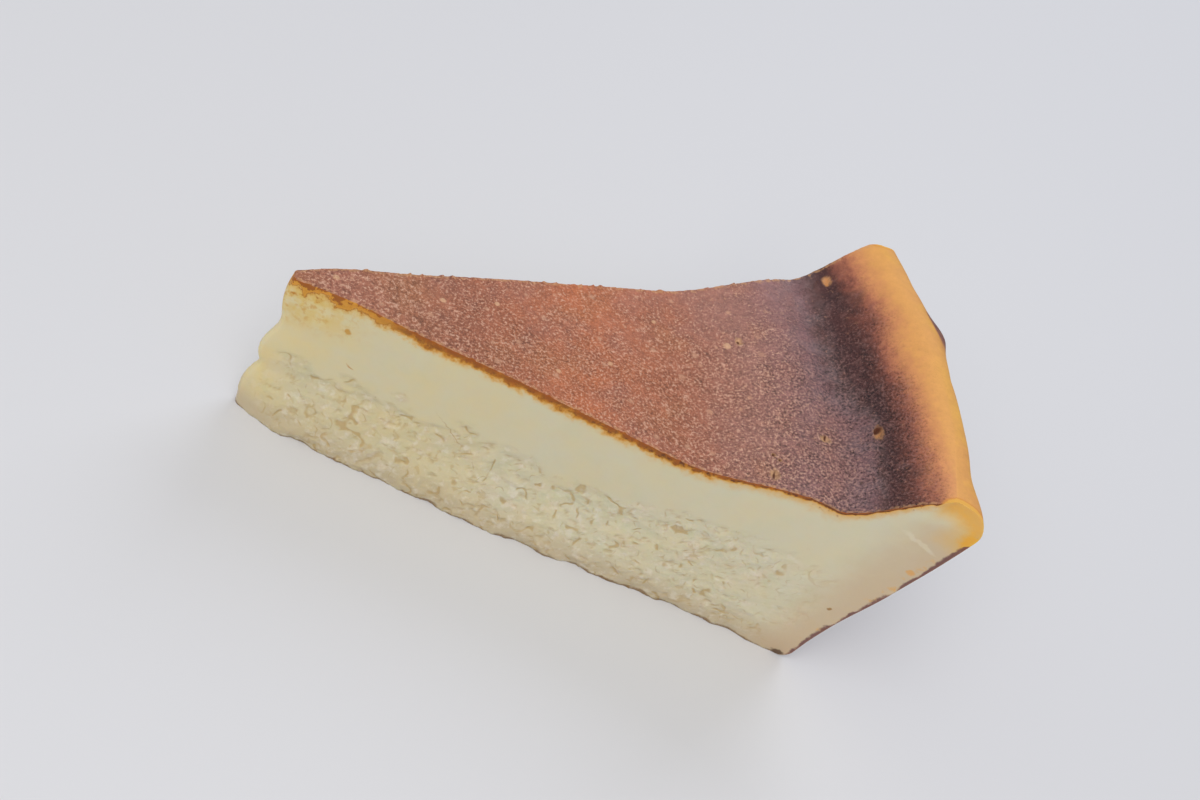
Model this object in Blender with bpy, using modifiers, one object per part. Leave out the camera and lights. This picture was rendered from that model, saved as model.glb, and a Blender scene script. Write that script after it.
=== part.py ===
"""A slice of basque cheesecake: one solid, cut from a round cake baked in crumpled paper.

The cake is a turned section with a low middle and a raised rim. Paper folds and a gentle
unevenness are laid on it, small steam pits are taken out of its skin, and three rough cuts
leave the wedge: the near side, the far side and the thin end. The section's radii and
heights are measured from the cake's centre line. Metres, +Z up, the slice points to -X.
"""

import math

import bmesh
import bpy
from mathutils import Matrix, Vector, noise

MM = 0.001

# The cut
SLICE_ANGLE = math.radians(32.0)
TIP_RADIUS = 1.7 * MM  # the thin end stops this far from the cake's centre
TIP_SLANT = 0.05  # it leans: its top stands back from its foot
# Torn lumps of the thin end: height, how far they stand out, half height
TIP_LUMPS = (
    (24.5 * MM, 0.25 * MM, 2.5 * MM),
    (18.0 * MM, -0.85 * MM, 2.6 * MM),
    (13.0 * MM, 0.3 * MM, 2.0 * MM),
    (9.2 * MM, -0.6 * MM, 1.5 * MM),
    (4.6 * MM, 0.45 * MM, 2.4 * MM),
)

# The turned section, from the middle outwards
CENTRE_HEIGHT = 27.9 * MM
TIP_DROP = 2.2 * MM  # the skin sinks towards the middle, where the knife started
TIP_DROP_START = -8.0 * MM
TIP_DROP_END = 14.0 * MM
SHOULDER_START = 60.0 * MM
SHOULDER_END = 81.0 * MM
SHOULDER_RISE = 4.6 * MM
RIM_FOOT = 82.0 * MM
RIM_CREST = 94.8 * MM
RIM_RISE = 10.1 * MM
OUTER_RADIUS = 98.7 * MM
RIM_ROUND = 3.7 * MM
WALL_LEAN = math.radians(8.7)
FOOT_ROUND = 2.4 * MM

# The torn crumb on the cuts
CRUMB_SIZE = 4.2 * MM
CRUMB_DEPTH = 0.62 * MM
CLOD_SHARE = 1.1  # against the finer torn grain
GRAIN_SHARE = 0.75
CRUMB_TOP_TIP = 12.0 * MM  # height of the crumbly zone at the thin end
CRUMB_TOP_MIDDLE = 14.5 * MM
CRUMB_TOP_RIM = 20.5 * MM
CRUMB_DIP = 42.0 * MM  # where that height is least
CRUMB_CLIMB = 85.0 * MM  # where it is greatest
CRUMB_FADE = 71.0 * MM
CRUMB_END = 91.0 * MM
CRUMB_EDGE = 3.5 * MM
EDGE_WANDER = 2.5 * MM
WANDER_LENGTH = 9.0 * MM
KNIFE_WAVE = 0.22 * MM
KNIFE_WAVE_LENGTH = 20.0 * MM
EDGE_CHIP = 0.8 * MM
CHIP_HEIGHT = 2.2 * MM
CHIP_LENGTH = 5.0 * MM
CORNER_BITE = 1.1 * MM  # the knife took the edge off the rim's top corners
CORNER_START = 92.5 * MM
CORNER_END = 95.5 * MM
CORNER_DEPTH = 3.6 * MM
BULGE = 2.3 * MM  # the soft foot of each long cut stands out this far between these distances
BULGE_RISE = (-2.0 * MM, 10.0 * MM)
BULGE_FALL = (42.0 * MM, 78.0 * MM)
BULGE_TOP = 13.0 * MM

# The skin
SWELL = 0.22 * MM
SWELL_LENGTH = 13.0 * MM
RIM_SWELL = 0.55 * MM
RIM_SWELL_TURNS = 0.11  # swells for each degree round the rim
PAPER_WAVE = 0.5 * MM
PAPER_WAVE_LENGTH = 11.0 * MM
PAPER_WAVE_TURNS = 0.16
FOLD_RISE = 7.0 * MM  # folds reach their full depth at this height
CREST_CALM = 0.85  # folds fade by this share towards the crest, between these heights
CALM_START = 27.0 * MM
CALM_END = 39.0 * MM
# Paper folds on the wall: angle and half width in degrees, how far they stand out, lean,
# and how much of that fading they take part in
PAPER_FOLDS = (
    (-12.4, 1.3, -0.9 * MM, 0.6, 1.0),
    (-7.2, 1.9, 0.9 * MM, -1.5, 1.0),
    (-1.6, 1.1, -1.2 * MM, 1.2, 1.0),
    (5.8, 1.8, 1.5 * MM, -0.8, 0.25),
    (9.6, 1.2, -1.0 * MM, 1.6, 1.0),
    (13.9, 1.5, 0.7 * MM, -0.4, 1.0),
)
# The near corner of the rim flares out: angle and half width in degrees, how far, heights
FLARE_ANGLE = -16.0
FLARE_WIDTH = 3.6
FLARE = 2.0 * MM
FLARE_START = 4.0 * MM
FLARE_END = 36.0 * MM
# Steam pits: distance from the centre, angle in degrees, size of the ball that sinks them
PIT_LIFT = 0.35  # of the ball's size
PITS = (
    (69.7 * MM, 6.6, 0.7 * MM),
    (86.9 * MM, 14.4, 0.9 * MM),
    (87.3 * MM, -6.4, 1.0 * MM),
    (80.6 * MM, -7.1, 0.85 * MM),
    (72.9 * MM, -13.0, 0.8 * MM),
)

# Fineness of the solid
TURN_STEPS = 270
SECTION_STEP = 2.4 * MM
BOTTOM_RINGS = 5
CUT_STEP = 1.4 * MM
CUT_START = -4.0 * MM
CUT_END = 108.0 * MM
CUT_BOTTOM = -2.0 * MM
CUT_TOP = 48.0 * MM
CUT_DEPTH = 130.0 * MM
CUT_SPREAD = 3.3
TIP_WIDTH = 12.0 * MM
TIP_SPREAD = 30.0
SLIVER = 0.03 * MM

SKIN_COLOUR = (0.262, 0.110, 0.068, 1.0)
CUSTARD_COLOUR = (0.665, 0.600, 0.400, 1.0)


def smooth_step(start, end, value):
    """Zero before start, one after end, and an even S curve between them."""
    t = min(max((value - start) / (end - start), 0.0), 1.0)
    return t * t * (3.0 - 2.0 * t)


def top_height(radius):
    """Height of the skin over the cake's middle, shoulder and rim."""
    drop = TIP_DROP * (1.0 - smooth_step(TIP_DROP_START, TIP_DROP_END, radius))
    shoulder = SHOULDER_RISE * smooth_step(SHOULDER_START, SHOULDER_END, radius)
    rim = RIM_RISE * smooth_step(RIM_FOOT, RIM_CREST, radius)
    return CENTRE_HEIGHT - drop + shoulder + rim


def arc_points(centre, radius, first, last, count):
    """Points of an arc in the section, by angle from the horizontal."""
    points = []
    for step in range(count + 1):
        angle = first + (last - first) * step / count
        points.append((centre[0] + radius * math.cos(angle), centre[1] + radius * math.sin(angle)))
    return points


def cake_section():
    """Outline of the turned section: the top outwards, the wall down, the bottom back."""
    crest_height = top_height(RIM_CREST)
    crest_centre = (OUTER_RADIUS - RIM_ROUND, crest_height - RIM_ROUND)
    drop = (crest_centre[1] - FOOT_ROUND) * math.sin(WALL_LEAN) - (RIM_ROUND - FOOT_ROUND)
    foot_centre = (crest_centre[0] - drop / math.cos(WALL_LEAN), FOOT_ROUND)

    top_count = round(RIM_CREST / SECTION_STEP)
    top_radii = [RIM_CREST * i / top_count for i in range(top_count + 1)]
    top = [(radius, top_height(radius)) for radius in top_radii]
    rim = arc_points(crest_centre, RIM_ROUND, math.pi / 2.0, -WALL_LEAN, 6)
    foot = arc_points(foot_centre, FOOT_ROUND, -WALL_LEAN, -math.pi / 2.0, 3)
    wall_count = round((rim[-1][1] - foot[0][1]) / SECTION_STEP)
    wall = []
    for i in range(1, wall_count):
        share = i / wall_count
        radius = rim[-1][0] + (foot[0][0] - rim[-1][0]) * share
        height = rim[-1][1] + (foot[0][1] - rim[-1][1]) * share
        wall.append((radius, height))
    bottom = [(foot_centre[0] * (1.0 - ring / BOTTOM_RINGS), 0.0) for ring in range(1, BOTTOM_RINGS + 1)]
    return top + rim + wall + foot + bottom


def principled(name, colour, roughness):
    """A plain material with one colour and roughness."""
    material = bpy.data.materials.new(name)
    material.use_nodes = True
    shader = material.node_tree.nodes["Principled BSDF"]
    shader.inputs["Base Color"].default_value = colour
    shader.inputs["Roughness"].default_value = roughness
    return material


def new_object(name, mesh, collection, material):
    """An object in its collection, with its material."""
    thing = bpy.data.objects.new(name, mesh)
    thing.data.materials.append(material)
    collection.objects.link(thing)
    return thing


def new_collection(name):
    """A collection linked to the scene."""
    collection = bpy.data.collections.new(name)
    bpy.context.scene.collection.children.link(collection)
    return collection


def evaluated_mesh(thing):
    """The mesh that an object has after its modifiers."""
    bpy.context.view_layer.update()
    graph = bpy.context.evaluated_depsgraph_get()
    return bpy.data.meshes.new_from_object(thing.evaluated_get(graph))


def triangulate(mesh):
    """Split bent faces into flat triangles."""
    form = bmesh.new()
    form.from_mesh(mesh)
    bmesh.ops.triangulate(form, faces=form.faces[:])
    form.to_mesh(mesh)
    form.free()


def turned_cake(collection, material):
    """The whole round cake: its section turned about the centre line."""
    mesh = bpy.data.meshes.new("cake_section")
    points = [(radius, 0.0, height) for radius, height in cake_section()]
    edges = [(i, i + 1) for i in range(len(points) - 1)]
    mesh.from_pydata(points, edges, [])
    cake = new_object("turned_cake", mesh, collection, material)
    screw = cake.modifiers.new("turn", "SCREW")
    screw.axis = "Z"
    screw.angle = math.tau
    screw.steps = TURN_STEPS
    screw.render_steps = TURN_STEPS
    screw.use_merge_vertices = True
    screw.merge_threshold = 0.00005
    solid = evaluated_mesh(cake)
    solid.transform(Matrix.Rotation(math.pi / TURN_STEPS, 4, "Z"))  # no facet edge along a cut
    cake.modifiers.remove(screw)
    cake.data = solid
    return cake


def fold_offset(angle, height):
    """How far the wall stands out at the paper's folds and at the flared corner."""
    faded = CREST_CALM * smooth_step(CALM_START, CALM_END, height)
    wave = noise.noise(Vector((angle * PAPER_WAVE_TURNS, height / PAPER_WAVE_LENGTH, 3.0)))
    offset = PAPER_WAVE * wave * (1.0 - faded)
    for place, half_width, depth, lean, fading in PAPER_FOLDS:
        middle = place + lean * (height / CENTRE_HEIGHT - 0.5)
        offset += depth * (1.0 - fading * faded) * math.exp(-(((angle - middle) / half_width) ** 2))
    near_corner = math.exp(-(((angle - FLARE_ANGLE) / FLARE_WIDTH) ** 2))
    return offset + FLARE * near_corner * smooth_step(FLARE_START, FLARE_END, height)


def lay_unevenness(cake):
    """Move the skin up and down a little, and the wall in and out with the paper."""
    wall_top = top_height(RIM_CREST) - RIM_ROUND
    for vertex in cake.data.vertices:
        place = vertex.co
        radius = math.hypot(place.x, place.y)
        height = place.z
        if radius < SLIVER:
            continue
        angle = math.degrees(math.atan2(place.y, place.x))
        wall_radius = OUTER_RADIUS - max(wall_top - height, 0.0) * math.tan(WALL_LEAN)
        on_wall = smooth_step(-RIM_ROUND, -0.3 * RIM_ROUND, radius - wall_radius)
        off_foot = smooth_step(0.0, FOLD_RISE, height)
        stretch = 1.0 + on_wall * off_foot * fold_offset(angle, height) / radius
        swell = SWELL * noise.noise(Vector((place.x, place.y, 0.0)) / SWELL_LENGTH) * (1.0 - on_wall)
        on_rim = smooth_step(RIM_FOOT, RIM_CREST, radius)
        crest = RIM_SWELL * noise.noise(Vector((angle * RIM_SWELL_TURNS, 7.0, 1.0))) * on_rim
        rise = off_foot * (swell + crest)
        vertex.co = Vector((place.x * stretch, place.y * stretch, height + rise))
    triangulate(cake.data)


def crumb_line(along):
    """Height under which a cut is torn and crumbly, by distance from the centre."""
    dip = (CRUMB_TOP_MIDDLE - CRUMB_TOP_TIP) * smooth_step(0.0, CRUMB_DIP, along)
    climb = (CRUMB_TOP_RIM - CRUMB_TOP_MIDDLE) * smooth_step(CRUMB_DIP, CRUMB_CLIMB, along)
    return CRUMB_TOP_TIP + dip + climb


def cut_relief(along, height, side):
    """How far a cut stands out of its plane: knife waves, torn crumb, chipped foot and corner."""
    spot = Vector((along / CRUMB_SIZE, 1.5 * height / CRUMB_SIZE, 10.0 * side))  # clods lie flat
    clods, _ = noise.voronoi(spot)
    torn = GRAIN_SHARE * noise.fractal(spot, 0.9, 2.1, 3) + CLOD_SHARE * (0.42 - clods[0])
    line = crumb_line(along) + EDGE_WANDER * noise.noise(Vector((along / WANDER_LENGTH, side, 0.0)))
    crumbly = 1.0 - smooth_step(line - CRUMB_EDGE / 2.0, line + CRUMB_EDGE / 2.0, height)
    crumbly *= 1.0 - smooth_step(CRUMB_FADE, CRUMB_END, along)
    wave = KNIFE_WAVE * noise.noise(Vector((along, height, side)) / KNIFE_WAVE_LENGTH)
    chip = EDGE_CHIP * max(0.0, noise.noise(Vector((along / CHIP_LENGTH, 11.0, side))) + 0.15)
    foot = 1.0 - smooth_step(0.0, CHIP_HEIGHT, height)
    corner = CORNER_BITE * smooth_step(CORNER_START, CORNER_END, along)
    corner *= 1.0 - smooth_step(0.0, CORNER_DEPTH, top_height(RIM_CREST) - height)
    return wave + CRUMB_DEPTH * torn * crumbly - chip * foot - corner


def foot_bulge(along, height):
    """How far the soft foot of a long cut stands out."""
    share = smooth_step(*BULGE_RISE, along) * (1.0 - smooth_step(*BULGE_FALL, along))
    return BULGE * share * (1.0 - smooth_step(0.0, BULGE_TOP, height))


def tip_relief(across, height):
    """How far the thin end stands out: its crumb and its torn lumps."""
    lumps = sum(out * math.exp(-(((height - middle) / spread) ** 2)) for middle, out, spread in TIP_LUMPS)
    return cut_relief(across, height, 3.0) + lumps


def cutting_block(name, start, end, relief, pivot, spread, collection, material):
    """A block with a rough face in the XZ plane, whose bulk lies towards -Y and widens."""
    columns = round((end - start) / CUT_STEP)
    rows = round((CUT_TOP - CUT_BOTTOM) / CUT_STEP)
    form = bmesh.new()
    grid = bmesh.ops.create_grid(form, x_segments=columns, y_segments=rows, size=0.5)
    for vertex in grid["verts"]:
        along = start + (vertex.co.x + 0.5) * (end - start)
        height = CUT_BOTTOM + (vertex.co.y + 0.5) * (CUT_TOP - CUT_BOTTOM)
        vertex.co = Vector((along, -relief(along, max(height, 0.0)), height))
    bulk = bmesh.ops.extrude_face_region(form, geom=form.faces[:])
    for item in bulk["geom"]:
        if isinstance(item, bmesh.types.BMVert):
            item.co.x = pivot + (item.co.x - pivot) * spread
            item.co.y = -CUT_DEPTH
    bmesh.ops.recalc_face_normals(form, faces=form.faces[:])
    bmesh.ops.triangulate(form, faces=form.faces[:])  # a bent quad has no one cutting plane
    mesh = bpy.data.meshes.new(name)
    form.to_mesh(mesh)
    form.free()
    block = new_object(name, mesh, collection, material)
    block.hide_render = True
    block.display_type = "WIRE"
    return block


def rough_cuts(collection, material):
    """The three cuts: the near side, its mirror on the far side, and the thin end."""
    def near_relief(along, height):
        return cut_relief(along, height, 1.0) + foot_bulge(along, height)

    def far_relief(along, height):
        return cut_relief(along, height, 2.0) + foot_bulge(along, height)

    near = cutting_block(
        "near_cut", CUT_START, CUT_END, near_relief, CUT_END, CUT_SPREAD, collection, material)
    near.rotation_euler.z = -SLICE_ANGLE / 2.0

    far = cutting_block(
        "far_cut", CUT_START, CUT_END, far_relief, CUT_END, CUT_SPREAD, collection, material)
    for vertex in far.data.vertices:
        vertex.co.y = -vertex.co.y
    far.data.flip_normals()
    far.rotation_euler.z = SLICE_ANGLE / 2.0

    half = TIP_WIDTH / 2.0
    tip = cutting_block("tip_cut", -half, half, tip_relief, 0.0, TIP_SPREAD, collection, material)
    for vertex in tip.data.vertices:
        vertex.co.y += TIP_SLANT * vertex.co.z
    tip.rotation_euler.z = -math.pi / 2.0
    tip.location.x = TIP_RADIUS
    return [tip, near, far]


def pit_cutters(collection, material):
    """Small balls that sink the steam pits into the skin."""
    balls = []
    for number, (radius, angle, size) in enumerate(PITS):
        turn = math.radians(angle)
        form = bmesh.new()
        bmesh.ops.create_icosphere(form, subdivisions=2, radius=size)
        mesh = bpy.data.meshes.new(f"pit_{number}")
        form.to_mesh(mesh)
        form.free()
        ball = new_object(f"pit_{number}", mesh, collection, material)
        height = top_height(radius) + PIT_LIFT * size
        ball.location = (radius * math.cos(turn), radius * math.sin(turn), height)
        ball.hide_render = True
        ball.display_type = "WIRE"
        balls.append(ball)
    return balls


def cut_away(cake, cutters):
    """Take each cutter out of the cake, and keep the custard's colour on the new faces."""
    for cutter in cutters:
        cut = cake.modifiers.new(cutter.name, "BOOLEAN")
        cut.operation = "DIFFERENCE"
        cut.solver = "EXACT"
        cut.material_mode = "TRANSFER"
        cut.object = cutter


def close_slivers(mesh):
    """Weld the needle-thin faces that the cuts leave, and drop faces that lie back to back."""
    form = bmesh.new()
    form.from_mesh(mesh)
    bmesh.ops.triangulate(form, faces=form.faces[:], ngon_method="EAR_CLIP")
    bmesh.ops.remove_doubles(form, verts=form.verts[:], dist=SLIVER)
    bmesh.ops.dissolve_degenerate(form, edges=form.edges[:], dist=SLIVER)
    form.verts.index_update()
    first_with = {}
    flaps = []
    for face in form.faces:
        corners = frozenset(vertex.index for vertex in face.verts)
        if corners in first_with:
            flaps += [face, first_with[corners]]
        first_with[corners] = face
    bmesh.ops.delete(form, geom=flaps, context="FACES")
    form.to_mesh(mesh)
    form.free()


def stand_on_origin(mesh):
    """Centre the slice's footprint on the origin and put its bottom at height zero."""
    lows = [min(vertex.co[axis] for vertex in mesh.vertices) for axis in range(3)]
    highs = [max(vertex.co[axis] for vertex in mesh.vertices) for axis in range(3)]
    middle = Vector(((lows[0] + highs[0]) / 2.0, (lows[1] + highs[1]) / 2.0, lows[2]))
    for vertex in mesh.vertices:
        vertex.co -= middle
    print("cake's centre line at x = %.3f mm, y = %.3f mm" % (-middle.x / MM, -middle.y / MM))


def cheesecake_slice():
    """Turn the cake, cut the wedge and keep it as one solid."""
    skin = principled("browned_skin", SKIN_COLOUR, 0.62)
    custard = principled("baked_custard", CUSTARD_COLOUR, 0.55)
    workshop = new_collection("cutters")
    finished = new_collection("basque_cheesecake_slice")

    cake = turned_cake(workshop, skin)
    lay_unevenness(cake)
    cutters = rough_cuts(workshop, custard) + pit_cutters(workshop, custard)
    cut_away(cake, cutters)

    mesh = evaluated_mesh(cake)
    close_slivers(mesh)
    stand_on_origin(mesh)
    mesh.shade_smooth()
    mesh.set_sharp_from_angle(angle=math.radians(50.0))
    workshop.objects.unlink(cake)
    bpy.data.objects.remove(cake)
    slice_object = bpy.data.objects.new("cheesecake_slice", mesh)
    finished.objects.link(slice_object)
    return slice_object


for leftover in list(bpy.data.objects):
    bpy.data.objects.remove(leftover, do_unlink=True)
cheesecake_slice()
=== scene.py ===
import math

import bpy
from mathutils import Matrix, Vector, noise


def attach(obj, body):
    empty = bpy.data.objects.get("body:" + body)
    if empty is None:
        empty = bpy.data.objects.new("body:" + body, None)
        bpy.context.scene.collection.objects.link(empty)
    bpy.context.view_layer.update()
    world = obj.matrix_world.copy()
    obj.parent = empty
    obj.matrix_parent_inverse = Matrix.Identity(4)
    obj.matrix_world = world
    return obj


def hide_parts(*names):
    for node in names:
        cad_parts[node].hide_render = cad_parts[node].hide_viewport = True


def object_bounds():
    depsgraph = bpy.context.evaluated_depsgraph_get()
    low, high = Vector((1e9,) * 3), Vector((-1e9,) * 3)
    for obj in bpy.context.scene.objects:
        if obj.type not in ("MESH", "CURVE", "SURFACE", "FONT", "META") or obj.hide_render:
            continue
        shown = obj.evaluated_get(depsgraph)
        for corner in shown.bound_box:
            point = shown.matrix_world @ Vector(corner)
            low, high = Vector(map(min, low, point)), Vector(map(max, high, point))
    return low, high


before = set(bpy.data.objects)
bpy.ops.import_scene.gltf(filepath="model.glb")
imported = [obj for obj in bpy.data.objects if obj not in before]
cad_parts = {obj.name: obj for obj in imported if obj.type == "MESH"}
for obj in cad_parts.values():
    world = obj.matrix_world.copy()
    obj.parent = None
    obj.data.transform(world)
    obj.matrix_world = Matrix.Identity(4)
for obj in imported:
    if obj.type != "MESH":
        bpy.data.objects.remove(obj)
cadLow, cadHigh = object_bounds()

mm = 0.001
nearly = 0.9999  # a share above this is the very edge
noise.seed_set(1)  # noise_vector would else start from the clock and change from run to run


def smoothStep(start, end, value):
    share = min(max((value - start) / (end - start), 0.0), 1.0)
    return share * share * (3.0 - 2.0 * share)


def mix(first, second, share):
    return first + (second - first) * share


def makeActive(thing):
    for other in bpy.context.selected_objects:
        other.select_set(False)
    thing.select_set(True)
    bpy.context.view_layer.objects.active = thing


def linear(hexCode):  # sRGB hex to the linear colour that a shader takes
    channels = [int(hexCode[i:i + 2], 16) / 255.0 for i in (0, 2, 4)]
    return tuple(c / 12.92 if c <= 0.04045 else ((c + 0.055) / 1.055) ** 2.4 for c in channels) + (1.0,)


def feed(material, node, sockets):  # a socket takes a value, an output, or a node by its first output
    for name, value in sockets.items():
        if isinstance(value, (bpy.types.Node, bpy.types.NodeSocket)):
            output = value.outputs[0] if isinstance(value, bpy.types.Node) else value
            material.node_tree.links.new(output, node.inputs[name])
        else:
            node.inputs[name].default_value = value


def addNode(material, kind, settings=None, sockets=None):
    node = material.node_tree.nodes.new("ShaderNode" + kind)
    for name, value in (settings or {}).items():
        setattr(node, name, value)
    feed(material, node, sockets or {})
    return node


# settings of nodes: what a Math node does with its numbers, and a map range that starts and ends softly
times, plus, timesPlus = ({"operation": name} for name in ("MULTIPLY", "ADD", "MULTIPLY_ADD"))
smooth = {"interpolation_type": "SMOOTHSTEP"}
mostNoise = (0.3, 0.7)  # nearly all of a noise lies between these levels


def setRamp(node, stops):  # stops are places from 0 to 1 with a hex colour
    ramp = node.color_ramp
    ramp.elements.remove(ramp.elements[-1])
    ramp.elements[0].position = stops[0][0]
    ramp.elements[0].color = linear(stops[0][1])
    for place, code in stops[1:]:
        ramp.elements.new(place).color = linear(code)
    return node


# The round cake that the slice was cut from, measured from its centre line
cake = {
    "centre": Vector((-50.377 * mm, 0.241 * mm, 0.0)),
    "sliceAngle": math.radians(32.0),
    "tipRadius": 1.7 * mm,
    "tipSlant": 0.05,
    "tipDrop": (2.2 * mm, -8.0 * mm, 14.0 * mm),  # the skin sinks towards the middle: how far, from, to
    "centreHeight": 27.9 * mm,
    "shoulder": (60.0 * mm, 81.0 * mm, 4.6 * mm),  # from, to, rise
    "rim": (82.0 * mm, 94.8 * mm, 10.1 * mm),
    "outerRadius": 98.7 * mm,
    "rimRound": 3.7 * mm,
    "wallLean": math.radians(8.7),
    "footRound": 2.4 * mm,
    "columns": 264,  # faces along the slice, up it and across it
    "rows": 84,
    "turns": 92,
    "rowsLow": 0.8,  # rows lie that much closer where the crumb is
    "sharpEdge": math.radians(55.0),
}
cake["rimHeight"] = cake["centreHeight"] + cake["shoulder"][2] + cake["rim"][2]
rimCentre = Vector((cake["outerRadius"] - cake["rimRound"], cake["rimHeight"] - cake["rimRound"]))

skinRelief = {
    "swell": 0.22 * mm,
    "swellLength": 13.0 * mm,
    "rimSwell": 0.55 * mm,
    "rimSwellTurns": 0.11,  # swells for each degree round the rim
    "skinGrain": 0.06 * mm,
    "skinGrainLength": 1.2 * mm,
    "paperWave": 0.5 * mm,
    "paperWaveLength": 11.0 * mm,
    "paperWaveTurns": 0.16,
    "foldRise": 7.0 * mm,
    "crestCalm": (27.0 * mm, 39.0 * mm, 0.85),  # the folds fade upwards: from, to, by how much
    # folds of the baking paper: angle and half width in degrees, how far they stand out in millimetres,
    # lean, and how much of them fades towards the crest
    "folds": (
        (-12.4, 1.3, -0.9, 0.6, 1.0),
        (-7.2, 1.9, 0.9, -1.5, 1.0),
        (-1.6, 1.1, -1.2, 1.2, 1.0),
        (5.8, 1.8, 1.5, -0.8, 0.25),
        (9.6, 1.2, -1.0, 1.6, 1.0),
        (13.9, 1.5, 0.7, -0.4, 1.0),
    ),
    # the near corner of the rim flares out: angle and half width in degrees, how far, heights
    "flare": (-16.0, 3.6, 2.0 * mm, 4.0 * mm, 36.0 * mm),
    # steam pits: distance from the centre in millimetres, angle, half width outwards and along the ring,
    # depth, and how far round the dark hole, a painted shadow, lies from the middle and its half widths, in
    # shares of the pit's
    "pits": (
        (69.7, 6.6, 0.55, 0.75, 0.3, 0.0, 0.4, 0.4),
        (86.7, 14.2, 0.45, 0.9, 0.3, 0.0, 0.0, 0.0),
        (87.0, -6.2, 0.5, 1.25, 0.6, 0.5, 0.85, 0.5),
        (80.3, -7.0, 0.9, 0.65, 0.3, 0.4, 0.22, 0.7),
        (73.0, -14.0, 0.65, 1.05, 0.4, 0.0, 0.3, 0.75),
        (72.6, -11.1, 0.35, 0.35, 0.3, 0.2, 0.6, 0.6),
        (73.5, -11.7, 0.3, 0.3, 0.3, 0.2, 0.6, 0.6),
    ),
    # pale blisters: distance from the centre in millimetres, angle, half widths, rise
    "blisters": (
        (8.4, 5.2, 0.5, 0.5, 0.12),
        (23.3, 4.7, 0.45, 0.45, 0.12),
        (31.4, 7.1, 0.4, 0.4, 0.1),
        (48.3, -2.2, 0.4, 0.4, 0.1),
        (57.0, 9.5, 0.4, 0.4, 0.1),
        (40.5, -8.4, 0.4, 0.4, 0.1),
        (67.8, 5.9, 0.6, 0.6, 0.1),
    ),
    "edgeCrumb": 0.26 * mm,  # browned crumbs along the skin's edges
    "edgeCrumbLength": 1.0 * mm,
    "edgeCrumbReach": 0.7 * mm,
    "edgeCrumbLevels": (0.22, 0.3),  # the noise where a crumb starts, and how much more makes a full one
    "ringDrift": (0.1, 76.0 * mm, 86.0 * mm),  # millimetres for each degree, from, to
    # how much wider the ring is at its far end, in millimetres, over how many degrees, from, to
    "ringSpread": (0.7, 8.0, 86.5 * mm, 89.5 * mm),
    # the ring's edges wander: angles where that starts and is full, how far in or out in millimetres,
    # and the distances from the centre where it sets in and where it is over
    "ringPushes": (
        ((1.0, -5.0), 3.6, (77.0, 81.0), (86.1, 88.7)),
        ((8.0, 13.0), 2.4, (77.0, 81.0), (85.5, 88.5)),
        ((-8.0, -13.0), 0.9, (91.0, 93.0), (95.0, 97.5)),
        ((-1.0, 1.5), -0.7, (88.0, 89.5), (92.0, 93.5)),
        ((4.5, 7.0), 0.7, (88.0, 89.5), (92.0, 93.5)),
    ),
    # angle and half width in degrees, reach in millimetres, and where down the rim it sets in
    "darkFold": (5.7, 2.5, 7.5, (0.2 * mm, 1.9 * mm)),
    # the brown line under the skin: thickness at the thin end, how much thinner it gets, and where
    "crustLine": (1.3 * mm, (0.3 * mm, (8.0 * mm, 50.0 * mm)), (0.55 * mm, (56.0 * mm, 78.0 * mm))),
    "rimPath": 5.8 * mm,  # the way along the skin over the rim's round
    "footPath": 150.0,  # where the underside starts on that way, in millimetres
    # the amber corner of the rim: where it sets in outwards, and upwards on the skin and on the cut, how
    # deep it goes, and how far in the knife took the skin off: mean and swing in mm, over what length
    "amberOut": (92.3 * mm, 94.0 * mm),
    "amberSkin": (6.0 * mm, 3.0 * mm),
    "amberCut": (10.0 * mm, 5.0 * mm),
    "amberDepth": 4.8 * mm,
    "amberBite": (1.3, 0.8, 2.2 * mm),
    "spotCuts": 3,  # extra cuts in the faces round a pit or a blister
    "spotRagged": (0.25, 0.45 * mm),  # how ragged pits and blisters are, over what length
    "spotReach": 2.6,  # where they end, and from where to where each part fades, in their half widths
    "pitWall": (0.4, 1.05),
    "pitLip": (0.5, 1.35),
    "pitHole": (0.6, 1.3),
    "blisterDome": (0.3, 1.1),
    "blisterPale": (0.6, 1.2),
}

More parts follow.
